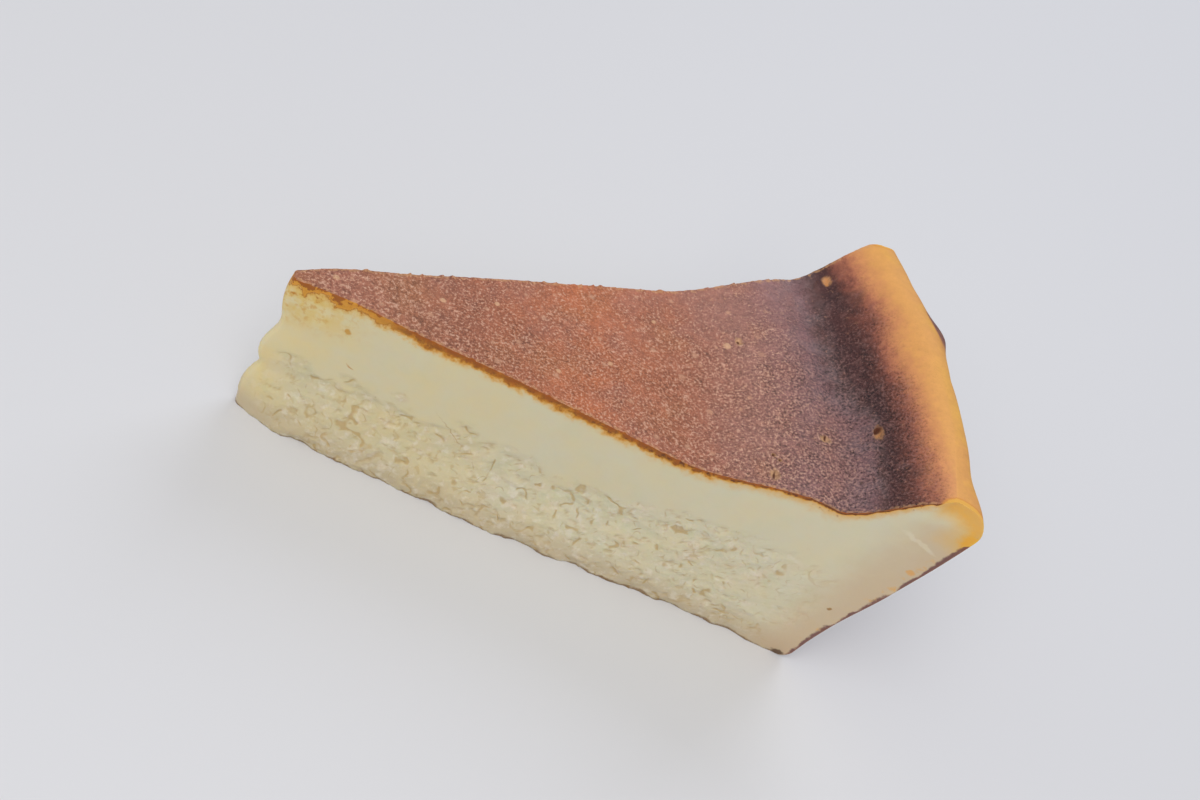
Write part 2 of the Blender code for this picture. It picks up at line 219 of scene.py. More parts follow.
crumb = {  # the torn lower half of each cut
    "topTip": 12.0 * mm,  # height of the torn zone at the thin end, at its least and at its greatest
    "topMiddle": 14.5 * mm,
    "topRim": 20.5 * mm,
    "dip": 42.0 * mm,
    "climb": 85.0 * mm,
    "fade": 77.0 * mm,
    "end": 93.0 * mm,
    "edge": 2.2 * mm,
    "wander": 3.6 * mm,
    "wanderLengths": (5.0 * mm, 3.2 * mm),  # along the cut and up it
    "ragged": 9.0 * mm,
    "start": (1.0 * mm, 9.0 * mm),
    "setBack": 0.1 * mm,
    "lump": 3.2 * mm,
    "lumpDepth": 0.26 * mm,
    "flatness": 1.35,  # lumps are this much longer than they are high
    "clod": 1.9 * mm,
    "clodStep": 0.09 * mm,
    "crackBend": 2.6 * mm,  # cracks curve over this length, and gape for about the next one
    "crackRun": 2.2 * mm,
    "crackWidth": 0.13,
    "crackDepth": 0.17 * mm,
    "grain": 0.8 * mm,
    "grainDepth": 0.05 * mm,
    "knifeWave": 0.22 * mm,
    "knifeWaveLength": 20.0 * mm,
    "chip": 0.8 * mm,
    "chipHeight": 2.2 * mm,
    "chipLength": 5.0 * mm,
    # the knife took the edge off the rim's top corners: how much, from, to, how deep
    "cornerBite": (1.1 * mm, 92.5 * mm, 95.5 * mm, 3.6 * mm),
    # the soft foot of each cut bulges out: how far, where that starts and ends, how high up
    "bulge": (2.3 * mm, (-2.0 * mm, 10.0 * mm), (42.0 * mm, 78.0 * mm), 13.0 * mm),
    # torn lumps of the thin end: height, how far they stand out and half height, in millimetres
    "tipLumps": (
        (24.5, 0.25, 2.5),
        (18.0, -0.85, 2.6),
        (13.0, 0.3, 2.0),
        (9.2, -0.6, 1.3),
        (4.6, 0.45, 2.4),
    ),
    "tipReach": 5.0 * mm,
    "tipRound": 0.5 * mm,  # the thin end is rounded from side to side
    "nibble": 0.1 * mm,  # small bites along the top edge
    "nibbleLength": 0.9 * mm,
    "nibbleHeight": 0.9 * mm,
    "room": 0.4,  # most that can be torn off, in shares of the slice's half width there
}


def topHeight(radius):
    shoulderStart, shoulderEnd, shoulderRise = cake["shoulder"]
    rimStart, rimEnd, rimRise = cake["rim"]
    shoulder = shoulderRise * smoothStep(shoulderStart, shoulderEnd, radius)
    tipDrop, dropStart, dropEnd = cake["tipDrop"]
    drop = tipDrop * (1.0 - smoothStep(dropStart, dropEnd, radius))
    return cake["centreHeight"] - drop + shoulder + rimRise * smoothStep(rimStart, rimEnd, radius)


def wallOutline(share):  # rounded foot, leaning wall and rounded rim, by share of their length
    lean, rimRound, footRound = cake["wallLean"], cake["rimRound"], cake["footRound"]
    drop = (rimCentre.y - footRound) * math.sin(lean) - (rimRound - footRound)
    footCentre = Vector((rimCentre.x - drop / math.cos(lean), footRound))
    outward = Vector((math.cos(lean), -math.sin(lean)))
    footTop = footCentre + footRound * outward
    rimBottom = rimCentre + rimRound * outward
    footLength = (math.pi / 2.0 - lean) * footRound
    wallLength = (rimBottom - footTop).length
    along = share * (footLength + wallLength + (math.pi / 2.0 + lean) * rimRound)
    if along < footLength:
        angle = -math.pi / 2.0 + along / footRound
        return footCentre + footRound * Vector((math.cos(angle), math.sin(angle)))
    if along < footLength + wallLength:
        return footTop.lerp(rimBottom, (along - footLength) / wallLength)
    angle = -lean + (along - footLength - wallLength) / rimRound
    return rimCentre + rimRound * Vector((math.cos(angle), math.sin(angle)))


def sectionPlace(across, up):  # a place in the cut, stretched between the cut's four outlines
    tipFoot = Vector((cake["tipRadius"], 0.0))
    tipTop = Vector((cake["tipRadius"] + cake["tipSlant"] * cake["centreHeight"], 0.0))
    tipTop.y = topHeight(tipTop.x)
    tipEdge = tipFoot.lerp(tipTop, up)
    wallFoot, wallTop = wallOutline(0.0), wallOutline(1.0)
    topRadius = mix(tipTop.x, wallTop.x, across)
    topEdge = Vector((topRadius, topHeight(topRadius)))
    sides = tipEdge.lerp(wallOutline(up), across)
    ends = tipFoot.lerp(wallFoot, across).lerp(topEdge, up)
    return sides + ends - tipFoot.lerp(wallFoot, across).lerp(tipTop.lerp(wallTop, across), up)


def wallRadius(height):
    return cake["outerRadius"] - max(rimCentre.y - height, 0.0) * math.tan(cake["wallLean"])


def foldOffset(angle, height):  # how far the wall stands out where the paper was folded
    offset = skinRelief["paperWave"] * noise.noise(Vector((
        angle * skinRelief["paperWaveTurns"], height / skinRelief["paperWaveLength"], 3.0)))
    calmStart, calmEnd, calm = skinRelief["crestCalm"]
    faded = calm * smoothStep(calmStart, calmEnd, height)
    offset *= 1.0 - faded
    for place, halfWidth, depth, lean, fading in skinRelief["folds"]:
        middle = place + lean * (height / cake["centreHeight"] - 0.5)
        offset += depth * mm * (1.0 - fading * faded) * math.exp(-(((angle - middle) / halfWidth) ** 2))
    place, halfWidth, flare, flareStart, flareEnd = skinRelief["flare"]
    nearCorner = math.exp(-(((angle - place) / halfWidth) ** 2))
    return offset + flare * nearCorner * smoothStep(flareStart, flareEnd, height)


def crumbShare(along, height, side):  # one where the cut tore, zero where the knife left it smooth
    dip = (crumb["topMiddle"] - crumb["topTip"]) * smoothStep(0.0, crumb["dip"], along)
    climb = (crumb["topRim"] - crumb["topMiddle"]) * smoothStep(crumb["dip"], crumb["climb"], along)
    place = Vector((along / crumb["wanderLengths"][0], height / crumb["wanderLengths"][1], side))
    line = crumb["topTip"] + dip + climb + crumb["wander"] * noise.fractal(place, 0.9, 2.1, 4)
    torn = 1.0 - smoothStep(line - crumb["edge"] / 2.0, line + crumb["edge"] / 2.0, height)
    ragged = crumb["ragged"] * noise.noise(place * 0.7)
    torn *= smoothStep(*crumb["start"], along + 0.3 * ragged)
    return torn * (1.0 - smoothStep(crumb["fade"], crumb["end"], along + ragged))


def clods(along, height, side):  # each clod stands out by its own step, down to nothing at its edge
    place = Vector((along / crumb["clod"], 1.4 * height / crumb["clod"], side * 10.0))
    warped = place + 0.5 * noise.noise_vector(place * 1.2)
    reach, cells = noise.voronoi(warped)
    return noise.cell(cells[0] * 7.31) * smoothStep(0.0, 0.2, reach[1] - reach[0])


def tornCrumb(along, height, side):
    place = Vector((along, crumb["flatness"] * height, 40.0 * mm * side))
    step = clods(along, height, side)
    lump = noise.fractal(place / crumb["lump"], 0.8, 2.1, 3)
    grain = noise.fractal(place / crumb["grain"], 0.7, 2.1, 2)
    # cracks follow the level lines of a slow noise, and gape in some places only
    level = abs(noise.fractal(place / crumb["crackBend"], 1.0, 2.1, 2))
    gape = smoothStep(0.0, 0.25, noise.noise(place / crumb["crackRun"] + Vector((9.0, 4.0, 2.0))))
    crack = gape * (1.0 - smoothStep(0.0, crumb["crackWidth"], level))
    relief = crumb["lumpDepth"] * lump + crumb["clodStep"] * step + crumb["grainDepth"] * grain
    return relief - crumb["crackDepth"] * crack, crack


def footBulge(along, height):
    bulge, (riseStart, riseEnd), (fallStart, fallEnd), top = crumb["bulge"]
    bulge *= smoothStep(riseStart, riseEnd, along) * (1.0 - smoothStep(fallStart, fallEnd, along))
    return bulge * (1.0 - smoothStep(0.0, top, height))


def cutRelief(along, height, side):  # how far a cut stands out of its plane, how torn and how creviced it is
    relief = crumb["knifeWave"] * noise.noise(Vector((along, height, side)) / crumb["knifeWaveLength"])
    share, gap = crumbShare(along, height, side), 0.0
    if share > 0.0:
        torn, gap = tornCrumb(along, height, side)
        relief += share * (torn - crumb["setBack"])
    chip = crumb["chip"] * max(0.0, noise.noise(Vector((along / crumb["chipLength"], 11.0, side))) + 0.15)
    relief -= chip * (1.0 - smoothStep(0.0, crumb["chipHeight"], height))
    nearEdge = 1.0 - smoothStep(0.0, crumb["nibbleHeight"], topHeight(along) - height)
    if nearEdge > 0.0:
        bite = noise.fractal(Vector((along / crumb["nibbleLength"], 0.0, side * 4.0)), 0.8, 2.0, 2)
        relief += crumb["nibble"] * bite * nearEdge
    bite, biteStart, biteEnd, biteDepth = crumb["cornerBite"]
    bite *= smoothStep(biteStart, biteEnd, along)
    relief -= bite * (1.0 - smoothStep(0.0, biteDepth, cake["rimHeight"] - height))
    room = crumb["room"] * along * math.sin(cake["sliceAngle"] / 2.0)
    return room * math.tanh(relief / room) + footBulge(along, height), share, share * gap


def crustThickness(radius):  # the brown line under the skin is thickest at the thin end
    thickness, *thinnings = skinRelief["crustLine"]
    return thickness - sum(thinning * smoothStep(*between, radius) for thinning, between in thinnings)


def spots(place, kind):  # where a place lies in each pit or blister, in shares of its half widths
    for radius, angle, halfOut, halfRound, *rest in skinRelief[kind]:
        turn = math.radians(angle)
        outwards = (place.x * math.cos(turn) + place.y * math.sin(turn)) / mm - radius
        sideways = (place.y * math.cos(turn) - place.x * math.sin(turn)) / mm
        ragged, length = skinRelief["spotRagged"]
        share = Vector((outwards / halfOut, sideways / halfRound)) * (1.0 + ragged * noise.noise(place / length))
        if share.length < skinRelief["spotReach"]:
            yield share, rest


def growSection(piece):
    # the upright grid becomes the near cut, and each point keeps its place in it
    rows = piece.data.attributes.new("sectionUp", "FLOAT", "POINT")
    columns = piece.data.attributes.new("sectionAcross", "FLOAT", "POINT")
    half = cake["sliceAngle"] / 2.0
    for vertex in piece.data.vertices:
        across = vertex.co.x + 0.5
        up = vertex.co.z + 0.5
        up = mix(cake["rowsLow"] * up, up, smoothStep(0.3, 1.0, up))
        columns.data[vertex.index].value = across
        rows.data[vertex.index].value = up
        place = sectionPlace(across, up)
        vertex.co = cake["centre"] + Vector((place.x * math.cos(half), -place.x * math.sin(half), place.y))


def selectFaces(piece, chosen):  # chosen tells by a face's middle and its normal
    bpy.ops.object.mode_set(mode="OBJECT")
    for vertex in piece.data.vertices:
        vertex.select = False
    for edge in piece.data.edges:
        edge.select = False
    for face in piece.data.polygons:
        face.select = chosen(face.center, face.normal)
    bpy.ops.object.mode_set(mode="EDIT")


def byASpot(middle, normal):
    place = middle - cake["centre"]
    nearAny = any(True for kind in ("pits", "blisters") for _ in spots(place, kind))
    return normal.z > 0.5 and nearAny


def onTheFloor(middle, normal):
    return middle.z < 0.001 * mm and normal.z < -0.9


def sweepSlice():
    bpy.ops.mesh.primitive_grid_add(
        x_subdivisions=cake["columns"], y_subdivisions=cake["rows"], size=1.0,
        location=(0.0, 0.0, 0.0), rotation=(math.pi / 2.0, 0.0, 0.0))
    piece = bpy.context.object
    piece.name = "cheesecake_slice_baked"
    makeActive(piece)
    bpy.ops.object.transform_apply(location=False, rotation=True, scale=False)
    growSection(piece)
    bpy.ops.object.mode_set(mode="EDIT")
    bpy.ops.mesh.select_mode(type="FACE")
    bpy.ops.mesh.select_all(action="SELECT")
    bpy.ops.mesh.spin(
        steps=cake["turns"], angle=-cake["sliceAngle"], center=cake["centre"], axis=(0.0, 0.0, 1.0))
    bpy.ops.mesh.select_all(action="SELECT")
    bpy.ops.mesh.remove_doubles(threshold=0.002 * mm)
    bpy.ops.mesh.normals_make_consistent(inside=False)
    selectFaces(piece, byASpot)
    bpy.ops.mesh.subdivide(number_cuts=skinRelief["spotCuts"])
    bpy.ops.object.mode_set(mode="OBJECT")
    return piece


def markSpots(flat, marks, number):  # colours the steam pits, with painted shadow in their holes, and the blisters, and says how far the skin rises
    rise = 0.0
    for share, (depth, shift, holeOut, holeRound) in spots(flat, "pits"):
        rise -= depth * mm * (1.0 - smoothStep(*skinRelief["pitWall"], share.length))
        lip = 1.0 - smoothStep(*skinRelief["pitLip"], share.length)
        marks["pitLip"][number] = max(marks["pitLip"][number], lip)
        if holeOut > 0.0:
            inHole = math.hypot(share.x / holeOut, (share.y - shift) / holeRound)
            holeShadow = 1.0 - smoothStep(*skinRelief["pitHole"], inHole)
            marks["pitHoleShadow"][number] = max(marks["pitHoleShadow"][number], holeShadow)
    for share, (depth,) in spots(flat, "blisters"):
        rise += depth * mm * (1.0 - smoothStep(*skinRelief["blisterDome"], share.length))
        pale = 1.0 - smoothStep(*skinRelief["blisterPale"], share.length)
        marks["blister"][number] = max(marks["blister"][number], pale)
    return rise


def skinPath(radius, height, degrees, inRim, onWall):
    # millimetres along the skin: out from the middle, over the rim, down the wall and in below
    if height < 0.01 * mm:
        return skinRelief["footPath"] + (rimCentre.x - radius) / mm
    if onWall:
        turn = math.atan2(max(radius - rimCentre.x, 0.0), height - rimCentre.y)
        down = cake["rimRound"] * turn if inRim else skinRelief["rimPath"] + rimCentre.y - height
        # where a fold stands out, the wall's dark skin reaches further up
        place, halfWidth, reach, setIn = skinRelief["darkFold"]
        reachUp = reach * smoothStep(*setIn, down) * math.exp(-(((degrees - place) / halfWidth) ** 2))
        return (rimCentre.x + down) / mm + reachUp
    # the dark ring lies further out towards the near cut
    drift, driftStart, driftFull = skinRelief["ringDrift"]
    drift *= degrees * smoothStep(driftStart, driftFull, radius)
    widening, wideAngle, wideStart, wideFull = skinRelief["ringSpread"]
    widening *= smoothStep(0.0, wideAngle, degrees) * smoothStep(wideStart, wideFull, radius)
    for angles, push, setIn, over in skinRelief["ringPushes"]:
        here = smoothStep(*setIn, radius / mm) * (1.0 - smoothStep(*over, radius / mm))
        widening += push * smoothStep(*angles, degrees) * here
    return radius / mm + drift - widening


def tipRelief(offset, share):  # how far the torn thin end stands out
    along = crumb["tipReach"] + offset.y
    relief = cutRelief(along, offset.z, 3.0)[0] - footBulge(along, offset.z)
    for middle, out, halfHeight in crumb["tipLumps"]:
        relief += out * mm * math.exp(-(((offset.z / mm - middle) / halfHeight) ** 2))
    return relief - crumb["tipRound"] * abs(2.0 * share - 1.0) ** 2.5


def belowCrest(reach, height):
    start, full = reach
    return smoothStep(cake["rimHeight"] - start, cake["rimHeight"] - full, height)


def layRelief(piece):
    mesh = piece.data
    across = [item.value for item in mesh.attributes["sectionAcross"].data]
    up = [item.value for item in mesh.attributes["sectionUp"].data]
    half = cake["sliceAngle"] / 2.0
    toNear = Vector((-math.sin(half), -math.cos(half), 0.0))
    toFar = Vector((-math.sin(half), math.cos(half), 0.0))
    marks = {name: [0.0] * len(mesh.vertices) for name in (
        "path", "crustDepth", "underSkin", "wallDepth", "amber", "torn", "crevice", "skinEdge", "pitHoleShadow",
        "pitLip", "blister")}
    known = {}
    for vertex in mesh.vertices:
        number = vertex.index
        offset = vertex.co - cake["centre"]
        flat = Vector((offset.x, offset.y, 0.0))
        height = offset.z
        radius = math.hypot(offset.x, offset.y)
        angle = math.atan2(offset.y, offset.x)
        degrees = math.degrees(angle)
        share = min(max(0.5 + 0.5 * angle / half, 0.0), 1.0)  # from the near cut to the far one
        onCut = min(share, 1.0 - share) < 1.0 - nearly
        onTop, onWall = up[number] > nearly, across[number] > nearly

        # the skin swells, and the paper's folds push the wall in and out
        byWall = smoothStep(-cake["rimRound"], -0.3 * cake["rimRound"], radius - wallRadius(height))
        offFoot = smoothStep(0.0, skinRelief["foldRise"], height)
        stretch = 1.0 + byWall * offFoot * foldOffset(degrees, height) / radius
        swell = skinRelief["swell"] * noise.noise(flat / skinRelief["swellLength"]) * (1.0 - byWall)
        onRim = smoothStep(cake["rim"][0], cake["rim"][1], radius)
        crest = skinRelief["rimSwell"] * noise.noise(Vector((degrees * skinRelief["rimSwellTurns"], 7.0, 1.0)))
        rise = offFoot * (swell + crest * onRim) * min(1.0, height / topHeight(radius)) ** 2

        # the cuts and the thin end are torn
        key = (round(radius * 1e7), round(height * 1e7))
        if key not in known:
            known[key] = (cutRelief(radius, height, 1.0), cutRelief(radius, height, 2.0))
        near, far = known[key]
        shift = toNear * near[0] * (1.0 - share) + toFar * far[0] * share
        marks["torn"][number], marks["crevice"][number] = (near if share < 0.5 else far)[1:]
        tipEdge = radius - cake["tipRadius"] - cake["tipSlant"] * height
        atTip = 1.0 - smoothStep(0.0, crumb["tipReach"], tipEdge)
        if atTip > 0.0:
            shift += Vector((-atTip * tipRelief(offset, share), 0.0, 0.0))

        if onTop and not onCut:
            grain = noise.noise(flat / skinRelief["skinGrainLength"])
            rise += skinRelief["skinGrain"] * grain * (1.0 - onRim) + markSpots(flat, marks, number)
        if onTop:  # browned crumbs stick up along the edges of the skin
            fromCut = radius * math.sin(max(half - abs(angle), 0.0))
            skinEdge = 1.0 - smoothStep(0.0, skinRelief["edgeCrumbReach"], fromCut)
            crumbStart, crumbFull = skinRelief["edgeCrumbLevels"]
            lump = max(noise.noise(flat / skinRelief["edgeCrumbLength"]) - crumbStart, 0.0) / crumbFull
            rise += skinRelief["edgeCrumb"] * skinEdge * lump * (1.0 - onRim)
            marks["skinEdge"][number] = skinEdge

        inRim = radius > rimCentre.x and height > rimCentre.y
        roundDepth = cake["rimRound"] - (Vector((radius, height)) - rimCentre).length
        topDepth = roundDepth if inRim else topHeight(radius) - height
        wallDepth = roundDepth if inRim else wallRadius(height) - radius
        atCorner = smoothStep(*skinRelief["amberOut"], radius)
        highUp = belowCrest(skinRelief["amberSkin"], height)
        marks["underSkin"][number] = topDepth / mm
        # the brown line and the wall's edge end before the amber corner
        marks["crustDepth"][number] = topDepth / crustThickness(radius) + 3.0 * atCorner
        marks["wallDepth"][number] = wallDepth / mm + 4.0 * highUp
        marks["path"][number] = skinPath(radius, height, degrees, inRim, onWall)
        if onCut:
            soaked = 1.0 - smoothStep(0.0, skinRelief["amberDepth"], min(topDepth, wallDepth))
            marks["amber"][number] = atCorner * belowCrest(skinRelief["amberCut"], height) * soaked
        elif onTop or onWall:  # the knife also took the near edge off the skin
            mean, swing, length = skinRelief["amberBite"]
            reachIn = (mean + swing * noise.noise(offset / length)) * mm
            onBite = 1.0 - smoothStep(0.2 * reachIn, reachIn, radius * math.sin(max(half + angle, 0.0)))
            marks["amber"][number] = atCorner * highUp * onBite

        place = cake["centre"] + Vector((offset.x * stretch, offset.y * stretch, height + rise)) + shift
        for axis in range(3):  # nothing reaches out of the solid's box
            place[axis] = min(max(place[axis], cadLow[axis]), cadHigh[axis])
        vertex.co = place
    for name, values in marks.items():
        mesh.attributes.new(name, "FLOAT", "POINT").data.foreach_set("value", values)
    mesh.update()


def finishForm(piece, custard, skin):
    # the cuts and the thin end show custard, and the rest is skin
    piece.data.materials.append(custard)
    piece.data.materials.append(skin)
    across = [item.value for item in piece.data.attributes["sectionAcross"].data]
    up = [item.value for item in piece.data.attributes["sectionUp"].data]
    for face in piece.data.polygons:
        corners = face.vertices
        isSkin = (all(up[i] > nearly for i in corners) or all(up[i] < 1.0 - nearly for i in corners)
                  or all(across[i] > nearly for i in corners))
        face.material_index = 1 if isSkin else 0
    selectFaces(piece, onTheFloor)
    bpy.ops.mesh.dissolve_faces()  # the underside is one flat face
    bpy.ops.object.mode_set(mode="OBJECT")
    makeActive(piece)
    bpy.ops.object.shade_smooth_by_angle(angle=cake["sharpEdge"])
    for name in ("sectionAcross", "sectionUp"):
        piece.data.attributes.remove(piece.data.attributes[name])


def startMaterial(name, attributes, settings):
    # with its shader, the place on the piece, and what its colours go by: that place and the attributes
    material = bpy.data.materials.new(name)
    material.use_nodes = True
    shader = material.node_tree.nodes["Principled BSDF"]
    feed(material, shader, settings)
    spot = addNode(material, "TexCoord").outputs["Object"]
    axes = addNode(material, "SeparateXYZ", None, {"Vector": spot})
    sources = dict(zip(("along", "across", "height"), axes.outputs))
    for name in attributes:
        sources[name] = addNode(material, "Attribute", {"attribute_name": name}).outputs["Fac"]
    return material, shader, spot, sources


def unevenLevel(material, spot, length, levels, results, detail=3.0, roughness=0.6):
    # a noise whose swells are that many millimetres long, stretched from its levels to the results
    swells = addNode(material, "TexNoise", None, {
        "Vector": spot, "Scale": 1.0 / (length * mm), "Detail": detail, "Roughness": roughness})
    return addNode(material, "MapRange", None, {
        "Value": swells, "From Min": levels[0], "From Max": levels[1],
        "To Min": results[0], "To Max": results[1]})


def addZones(material, spot, sources, table):
    # where a coat of colour lies: from nothing at one value of its source to all of it at another
    zones = dict(sources)
    for name, source, start, full, *wander in table:
        value = zones[source]
        if wander:  # an edge that wanders that far over that many millimetres
            reach, length = wander
            drift = unevenLevel(material, spot, length, mostNoise, (-reach, reach), 4.0)
            value = addNode(material, "Math", plus, {0: value, 1: drift})
        zones[name] = addNode(material, "MapRange", smooth, {
            "Value": value, "From Min": start, "From Max": full})
    return zones


def paintCoats(material, spot, colour, zones, coats):
    # one coat over another: its colour, how strong it is, the zones it keeps to and the grains it breaks
    # into, each with its size in millimetres and the levels of noise where it starts and is full
    for paint, most, inside, grains in coats:
        share = most
        for size, start, full in grains:
            share = unevenLevel(material, spot, size, (start, full), (0.0, share))
        for name in inside:
            share = addNode(material, "Math", times, {0: share, 1: zones[name]})
        colour = addNode(material, "Mix", {"data_type": "RGBA"}, {
            0: share, 6: colour, 7: linear(paint) if isinstance(paint, str) else paint}).outputs[2]
    return colour


# Baked custard: cream cheese, egg and cream set in the oven, then cut with a knife. It is matt and
# a little moist, lets light in a short way, and its torn crumb has painted ochre shade in the gaps
custardLook = {
    "length": (-50.0 * mm, 40.0 * mm),
    "alongStops": ((0.0, "e2cf96"), (0.45, "d9cea9"), (1.0, "dbd1b0")),  # from the thin end to the rim
    # zones: name, source, values where it starts and is full, and how far its edge wanders, over how
    # many millimetres, where it does
    "zones": (
        ("tinted", "torn", -0.6, 1.0),
        ("low", "height", 7.0 * mm, 1.0 * mm),
        ("thinEnd", "along", -33.0 * mm, -46.0 * mm),
        ("thinHalf", "along", 0.0, -28.0 * mm),
        ("tip", "along", -30.0 * mm, -38.0 * mm),
        ("underCrust", "crustDepth", 7.5, 2.5),
        ("fringe", "underSkin", 2.7, 0.3, 0.6, 1.6),
        ("rimEnd", "along", 20.0 * mm, 28.0 * mm),
        ("justUnder", "crustDepth", 3.4, 1.6),
        ("flush", "amber", 0.0, 0.75, 0.08, 2.4),
        ("bitten", "amber", 0.6, 0.95, 0.08, 1.2),
        ("stain", "wallDepth", 10.0, 1.0, 1.0, 4.0),
        ("blot", "wallDepth", 1.9, 0.8),
        ("edge", "wallDepth", 0.75, 0.3, 0.55, 3.2),
        ("foot", "height", 0.5 * mm, 0.0, 0.5 * mm, 4.0),
    ),
    "coats": (  # colour, strength, zones, grains
        ("d2d0bb", 0.5, (), ((7.0, 0.35, 0.65),)),  # cooler patches
        ("dac4a8", 0.4, ("tinted",), ((2.6, 0.5, 0.68),)),  # rosy and green tints
        ("cacaa4", 0.4, ("tinted",), ((3.3, 0.5, 0.68),)),
        # darker towards the foot of the cut: painted shade
        ("c8b798", 0.85, ("low",), ()),
        ("c4b68e", 0.3, ("torn", "thinHalf"), ()),
        ("ece7da", 0.35, ("torn",), ((1.3, 0.53, 0.68),)),  # pale specks on the lumps: painted highlights
        # painted ochre shade in the crumb's cracks
        ("bb9c62", 0.72, ("cracks",), ()),
        ("dcb95c", 0.85, ("thinEnd", "underCrust"), ((2.6, 0.36, 0.58),)),  # crumbs that the knife dragged down
        ("cc9020", 0.6, ("thinEnd", "underCrust"), ((1.1, 0.52, 0.66),)),
        ("caab88", 0.6, ("stain",), ()),
        ("e4b75c", 0.65, ("flush",), ()),  # amber where the rim's corner was cut off
        ("ecae2c", 0.9, ("bitten",), ()),
        ("dcae60", 0.85, ("fringe",), ()),
    ),
    # the brown line by depth, in units of its thickness
    "crustStops": (
        (0.0, "9a5208"), (0.12, "a85e0a"), (0.3, "b46c0e"), (0.45, "c6841e"), (0.6, "d69a36"), (0.78, "deb258"),
        (1.0, "e0c184")),
    "smearedStops": (  # the same line at the thin end, where the knife smeared it
        (0.0, "a05a0e"), (0.05, "ae6c14"), (0.11, "cf9028"), (0.38, "d69a34"), (0.48, "ab6c1c"), (0.56, "cc9642"),
        (0.75, "dab458"), (1.0, "dec07c")),
    "crustDark": "5e2d0a",
    "coatsOver": (
        ("9c5a1c", 0.85, ("justUnder", "rimEnd"), ((0.7, 0.6, 0.66),)),  # loose bits of the crust
        ("e0a94a", 0.8, ("blot",), ((2.6, 0.6, 0.7),)),
        ("6e4140", 0.92, ("edge",), ()),
        ("7a5631", 0.75, ("foot",), ()),
    ),
    # single marks: colour, strength, place and half widths in millimetres, tilt and turn in degrees
    "marks": (
        ("e6dcc3", 0.45, (40.7, -25.9, 33.6), (3.7, 1.5, 0.45), 18.0, -16.0),  # scratch
        ("9c702c", 0.85, (38.2, -25.2, 14.1), (0.5, 1.5, 0.4), 0.0, -16.0),
        ("e2a44e", 0.7, (43.0, -26.5, 27.8), (0.9, 1.5, 0.7), 0.0, -16.0),
        ("54361e", 0.9, (37.2, -24.9, 0.6), (1.4, 1.5, 0.7), 0.0, -16.0),
        ("c99433", 0.85, (-38.6, -3.1, 22.5), (0.6, 1.5, 0.5), 0.0, -16.0),
        ("c48c48", 0.8, (-36.4, -4.3, 16.6), (0.9, 1.5, 0.2), 10.0, -16.0),
        ("b28c54", 0.8, (-20.9, -9.5, 13.4), (4.6, 2.0, 0.22), 36.0, -16.0),  # a long crack, painted as the shade in it
    ),
    "markBend": (1.6, 1.4),  # the marks' edges bend: over what length and how far, in millimetres
    "cracks": ((3.0, 2.1, 0.05, 0.95), (1.9, 1.4, 0.045, 0.5)),  # bend and run in mm, width, strength
    "gape": (0.52, 0.62),  # levels of noise where a crack starts to gape and gapes in full
    "creviceShadeShare": 0.7,  # how strongly the cracks in the form itself get painted shade
    # the brown line by its depth: zones as above, how uneven it is and over what length, and where along
    # the slice it turns from half to wholly burnt
    "lineZones": (
        ("coreIn", "browned", 0.0, 0.2),
        ("coreOut", "browned", 0.55, 0.35),
        ("crust", "browned", 0.95, 0.45),
    ),
    "lineUneven": (0.6, 1.6),
    "lineBurnt": (-15.0 * mm, 15.0 * mm, 0.5, 1.0),
    "pores": ((2.2, 1.6), (1.0, 0.8), (0.5, 0.35)),  # size in millimetres, height
    "bumpDepth": 0.16 * mm,
    "bumpStrength": (0.12, 0.7),  # on the smooth cut, where it tore
    "crackBump": -0.7,
    "settings": {
        "Roughness": 0.5, "IOR": 1.45, "Subsurface Weight": 0.5, "Subsurface Radius": (1.0, 0.75, 0.4),
        "Subsurface Scale": 1.2 * mm},
}


def crackedCrumb(material, spot, sources):
    # cracks in the torn crumb follow the level lines of a slow noise, and gape here and there
    look = custardLook
    cracks = addNode(material, "Math", times, {0: sources["crevice"], 1: look["creviceShadeShare"]})
    for bend, run, width, strength in look["cracks"]:
        slow = addNode(material, "TexNoise", None, {
            "Vector": spot, "Scale": 1.0 / (bend * mm), "Detail": 0.7, "Roughness": 0.5})
        level = addNode(material, "Math", {"operation": "SUBTRACT"}, {0: slow, 1: 0.5})
        reach = addNode(material, "Math", {"operation": "ABSOLUTE"}, {0: level})
        line = addNode(material, "MapRange", smooth, {
            "Value": reach, "From Min": width, "From Max": 0.2 * width, "To Max": strength})
        gape = unevenLevel(material, spot, run, look["gape"], (0.0, sources["torn"]), 1.0, 0.5)
        crack = addNode(material, "Math", times, {0: line, 1: gape})
        cracks = addNode(material, "Math", {"operation": "MAXIMUM"}, {0: cracks, 1: crack})
    return cracks


def brownLine(material, spot, sources, zones):
    # the brown line under the skin: darkest in its middle, uneven where the knife smeared it
    look = custardLook
    reach, length = look["lineUneven"]
    uneven = unevenLevel(material, spot, length, mostNoise, (-reach, reach), 4.0)
    smear = addNode(material, "Math", timesPlus, {0: uneven, 1: zones["thinEnd"], 2: uneven})
    depth = addNode(material, "Math", plus, {0: sources["crustDepth"], 1: smear})
    browned = addNode(material, "Math", times, {0: depth, 1: 0.5})
    zones.update(addZones(material, spot, {"browned": browned}, look["lineZones"]))
    start, full, least, most = look["lineBurnt"]
    zones["burnt"] = addNode(material, "MapRange", None, {
        "Value": sources["along"], "From Min": start, "From Max": full,
        "To Min": least, "To Max": most})
    even = setRamp(addNode(material, "ValToRGB", None, {"Fac": browned}), look["crustStops"])
    smeared = setRamp(addNode(material, "ValToRGB", None, {"Fac": browned}), look["smearedStops"])
    return paintCoats(material, spot, even, zones, (
        (look["crustDark"], 1.0, ("coreIn", "coreOut", "burnt"), ((0.7, 0.4, 0.62),)),
        (look["crustDark"], 0.75, ("coreIn", "coreOut", "rimEnd"), ()),
        (smeared, 1.0, ("tip",), ())))


